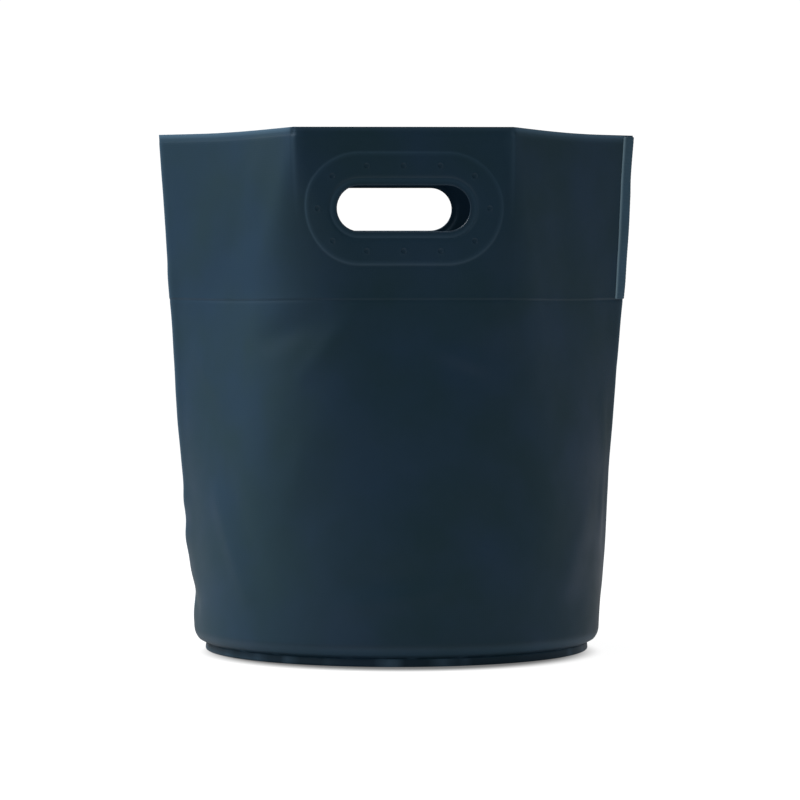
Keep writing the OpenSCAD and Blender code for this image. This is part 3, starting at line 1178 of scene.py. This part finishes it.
ON_SHEET = -(SHEET_T + LAYER_GAP)
ON_BAND = 2 * ON_SHEET
OVER_BAND = TAPE_T + 0.25 * MM
PRESSED_DOWN = 0.55 * MM
PRESSED_UP = -0.4 * MM
TAPES = [
    ("left_corner_tape", -QUARTER, ON_BAND, PRESSED_UP, inside_finish, "tarpaulin_inside"),
    ("right_corner_tape", QUARTER, OVER_BAND, PRESSED_DOWN, rim_lit_tape_finish, "tarpaulin"),
    ("left_seam_tape", -QUARTER, ON_SHEET, PRESSED_UP, inside_finish, "tarpaulin_inside"),
    ("right_seam_tape", QUARTER, ON_SHEET, PRESSED_UP, inside_finish, "tarpaulin_inside"),
]
for node, corner, face, pressed, finish, slot in TAPES:
    tape_low, tape_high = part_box(node)
    low, high = tape_low.z - FOOT_TOP, tape_high.z - FOOT_TOP
    is_outside = face > 0
    bm = draw_tape(low, high, face, pressed, is_outside)
    note_cut(bm)
    note_wear_and_highlights(bm, tape_edge_wear_and_highlight)
    if is_outside:
        flare(bm, low, high)
    wrap_mesh(bm, corner)
    tape = make_piece(node + "_strip", bm, finish, TAPE_T)
    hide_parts(node)
    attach(tape, "tub")

# %% [markdown]
# ## The base
# The floor of the tub is a disc with its margin turned down. The wall's flange and that margin
# are welded together, and a narrow strip is folded up over both as a binding. The tub stands
# on the binding. Both pieces are turned: half of a section is drawn and spun round.

# %% The base
AROUND = 160
CLOSE = 0.02 * MM


def spun(bm, edges):
    """Spins a drawn section once round the tub's axis."""
    bmesh.ops.spin(
        bm,
        geom=edges + list({v for e in edges for v in e.verts}),
        cent=(0, 0, 0),
        axis=(0, 0, 1),
        angle=2 * pi,
        steps=AROUND,
        use_merge=True,
    )
    bmesh.ops.remove_doubles(bm, verts=bm.verts[:], dist=CLOSE)
    bmesh.ops.recalc_face_normals(bm, faces=bm.faces[:])


def draw_section(bm, points):
    """A line of vertices through the points of a section, in the XZ plane."""
    verts = [bm.verts.new((x, 0, z)) for x, z in points]
    return [bm.edges.new(pair) for pair in zip(verts, verts[1:])]


def turn_outwards(bm, outwardness):
    """Turns all faces round if the sum of their outwardness says that they point inwards."""
    if sum(outwardness(face) for face in bm.faces) < 0:
        bmesh.ops.reverse_faces(bm, faces=bm.faces[:])


# %% The disc
disc_low, disc_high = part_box("base_disc")
DISC_R = disc_high.x
DISC_TOP = disc_high.z
DISC_RINGS = 16
DISC_TURN = 1.4 * MM
DISC_TURN_CUT = 0.3 * MM
DISC_SWELL = 1.1 * MM
DISC_SWELL_EVEN = 0.25
DISC_SWELL_RUN = 18 * MM
DISC_WAVE = 48 * MM
DISC_WAVE_SLICE = 0.3
DISC_WEAR = (2.5 * MM, 0.5)

bm = bmesh.new()
section = [(DISC_R * k / DISC_RINGS, DISC_TOP) for k in range(DISC_RINGS)]
section += [
    (DISC_R - DISC_TURN, DISC_TOP),
    (DISC_R - DISC_TURN_CUT, DISC_TOP - DISC_TURN_CUT),
    (DISC_R, DISC_TOP - DISC_TURN),
    (DISC_R, disc_low.z),
]
spun(bm, draw_section(bm, section))
for vertex in bm.verts:
    inward = ease((DISC_R - hypot(vertex.co.x, vertex.co.y)) / DISC_SWELL_RUN)
    wave = noise.noise(Vector((vertex.co.x, vertex.co.y, DISC_WAVE_SLICE)) / DISC_WAVE)
    vertex.co.z += DISC_SWELL * inward * (DISC_SWELL_EVEN + wave)
note_cut(bm)
note_wear_and_highlights(bm, lambda x, y: pale_line(DISC_R - hypot(x, y), *DISC_WEAR))
turn_outwards(bm, lambda face: face.normal.z)
disc = make_piece("base_sheet", bm, inside_finish, SHEET_T)
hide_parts("base_disc")
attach(disc, "tub")

# %% [markdown]
# The binding's section is a U: down the outside, a little splayed where it meets the floor, and up
# again inside. It was folded by hand, so its upright part waves a little, and pale streaks along
# its edge are painted glints.

# %% The binding
_, binding_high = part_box("base_binding")
BINDING_T = 0.8 * MM
BINDING_WIDTH = 3.3 * MM
OUTER_R = binding_high.x
INNER_R = OUTER_R - BINDING_WIDTH
BIND_TOP = binding_high.z
HEM_SPLAY = 0.4 * MM
HEM_WAVE = 0.3 * MM
HEM_WAVES = 9
HEM_WAVE_SLICE = 1.7
HEM_RISE = 2 * MM
HEM_WEAR = 0.12
print("binding, mm across:", round(2 * OUTER_R / MM, 1), "mm high:", round(BIND_TOP / MM, 1))

# %% Turning the binding
bm = bmesh.new()
section = [
    (OUTER_R - 0.25 * MM, BIND_TOP),
    (OUTER_R, BIND_TOP - 0.5 * MM),
    (OUTER_R + HEM_SPLAY * 0.7, 2.6 * MM),
    (OUTER_R + HEM_SPLAY, 1.0 * MM),
    (OUTER_R + HEM_SPLAY - 0.4 * MM, 0.25 * MM),
    (OUTER_R + HEM_SPLAY - 1.1 * MM, 0.0),
    (INNER_R + 1.2 * MM, 0.0),
    (INNER_R + 0.4 * MM, 0.3 * MM),
    (INNER_R, 1.0 * MM),
    (INNER_R, BIND_TOP),
]
spun(bm, draw_section(bm, section))
for vertex in bm.verts:
    angle = atan2(vertex.co.y, vertex.co.x)
    wave = noise.noise(Vector((cos(angle) * HEM_WAVES, sin(angle) * HEM_WAVES, HEM_WAVE_SLICE)))
    risen = ease(vertex.co.z / HEM_RISE)
    out = Vector((vertex.co.x, vertex.co.y, 0)).normalized()
    vertex.co -= out * (wave * HEM_WAVE * risen + HEM_WAVE) * risen
note_cut(bm)
# A little even wear, with painted glints in streaks on top of it.
note_wear_and_highlights(bm, lambda x, y: HEM_WEAR + glint_streaks(x, y))


def upright_outwardness(face):
    """How far a face of the upright part looks away from the axis."""
    centre = face.calc_center_median()
    return face.normal.dot(centre) if centre.z > HEM_RISE else 0.0


turn_outwards(bm, upright_outwardness)
binding = make_piece("foot_binding", bm, sheet_finish, BINDING_T)
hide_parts("base_binding")
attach(binding, "tub")

# %% [markdown]
# ## The studio
# The tub stands on a lit table: a round of opal acrylic with lamps under it, which stays white
# and swallows the shadows. Under the foot and just in front of it a mask dims the table's light:
# a painted shadow, laid towards the front because the strongest light hangs behind the tub. That
# light is large and soft, high on the left, and models the faces. A weak one in front of it fills
# them, and one on the right lifts the far edge. All hang high, because lights at the height of
# the wall would show in its satin coating as a grey veil. For the same reason the table is dimmer
# to the rays that gloss reflects. One more light looks straight down into the tub.

# %% Floor
FLOOR_R = 1.4
FLOOR_SIDES = 64
TOOTH_SIZE = 0.6 * MM
TOOTH_DEPTH = 0.02 * MM
TOOTH_STRENGTH = 0.1
ACRYLIC_ROUGH = 0.9
ACRYLIC_SPECULAR = 0.1
# A painted shadow: the table's light is dimmed in a ring round the foot, moved to the front.
SHADE_FORWARD = 24 * MM
PAINTED_SHADOW_CORE = 112 * MM
PAINTED_SHADOW_EDGE = 137 * MM
PAINTED_SHADOW_LEVEL = 0.18
GLOW = 0.95
GLOW_IN_GLOSS = 0.45


def lit_acrylic():
    """Sandblasted opal acrylic, lit from below. It reflects little and shines evenly, but for a
    painted shadow round the foot, where a mask dims its light.
    """
    material, tree, output = new_material("sandblasted_opal_acrylic_with_painted_shadow")
    place = add(tree, "ShaderNodeTexCoord").outputs["Object"]
    tooth = add(tree, "ShaderNodeTexNoise", Vector=place, Scale=1 / TOOTH_SIZE, Detail=2.0)
    relief = add(
        tree,
        "ShaderNodeBump",
        Height=tooth.outputs["Fac"],
        Strength=TOOTH_STRENGTH,
        Distance=TOOTH_DEPTH,
    )
    # The distance from a point a little in front of the middle sets the painted shadow round the foot.
    shade = (0, SHADE_FORWARD, 0)
    from_shade = add(tree, "ShaderNodeVectorMath", {"operation": "ADD"}, _0=place, _1=shade)
    out_from_middle = add(
        tree, "ShaderNodeVectorMath", {"operation": "LENGTH"}, _0=from_shade.outputs[0]
    )
    shadowed_glow = add(
        tree,
        "ShaderNodeMapRange",
        {"interpolation_type": "SMOOTHSTEP"},
        Value=out_from_middle.outputs["Value"],
        _1=PAINTED_SHADOW_CORE,
        _2=PAINTED_SHADOW_EDGE,
        _3=PAINTED_SHADOW_LEVEL,
    )
    ray = add(tree, "ShaderNodeLightPath")
    strength = add(
        tree,
        "ShaderNodeMapRange",
        Value=ray.outputs["Is Glossy Ray"],
        _3=GLOW,
        _4=GLOW_IN_GLOSS,
    )
    shader = add(
        tree,
        "ShaderNodeBsdfPrincipled",
        Base_Color=linear("#5c5c5c"),
        Roughness=ACRYLIC_ROUGH,
        Normal=relief.outputs["Normal"],
        Emission_Color=shadowed_glow.outputs["Result"],
        Emission_Strength=strength.outputs["Result"],
    )
    shader.inputs["Specular IOR Level"].default_value = ACRYLIC_SPECULAR
    tree.links.new(shader.outputs[0], output.inputs[0])
    return material


bm = bmesh.new()
bmesh.ops.create_circle(bm, cap_ends=True, segments=FLOOR_SIDES, radius=FLOOR_R)
floor_mesh = bpy.data.meshes.new("floor")
bm.to_mesh(floor_mesh)
bm.free()
floor_mesh.materials.append(lit_acrylic())
floor = bpy.data.objects.new("floor", floor_mesh)
bpy.context.collection.objects.link(floor)

# %% Lights
TARGET = Vector((0, 0, 0.18))


def soft_light(name, place, width, height, watts):
    """A rectangular soft light that faces the tub."""
    data = bpy.data.lights.new(name, "AREA")
    data.shape = "RECTANGLE"
    data.size = width
    data.size_y = height
    data.energy = watts
    light = bpy.data.objects.new(name, data)
    light.location = place
    light.rotation_euler = (TARGET - Vector(place)).to_track_quat("-Z", "Y").to_euler()
    bpy.context.collection.objects.link(light)


soft_light("left_softbox", (-1.9, 0.6, 2.2), width=1.4, height=1.4, watts=142)
soft_light("left_front_softbox", (-2.0, -1.4, 1.8), width=1.2, height=1.2, watts=15)
soft_light("right_softbox", (1.9, 0.6, 2.3), width=1.2, height=1.2, watts=24)
soft_light("overhead", (0.0, 0.0, 3.0), width=1.0, height=1.0, watts=22)

# %% [markdown]
# The room round the table is plain white where the camera looks past the tub, and a faint cool
# fill where it lights the tub.

# %% The room
ROOM_SEEN = 1.05
ROOM_FELT = 0.15

world = bpy.data.worlds.new("white_room")
world.use_nodes = True
room = world.node_tree
room.nodes.clear()
seen = add(room, "ShaderNodeBackground", Color=linear("#ffffff"), Strength=ROOM_SEEN)
felt = add(room, "ShaderNodeBackground", Color=linear("#eef3f8"), Strength=ROOM_FELT)
is_seen = add(room, "ShaderNodeLightPath").outputs["Is Camera Ray"]
both = add(room, "ShaderNodeMixShader", _0=is_seen, _1=felt.outputs[0], _2=seen.outputs[0])
add(room, "ShaderNodeOutputWorld", Surface=both.outputs[0])
bpy.context.scene.world = world
bpy.context.scene.view_settings.view_transform = "Standard"
bpy.context.scene.view_settings.look = "None"
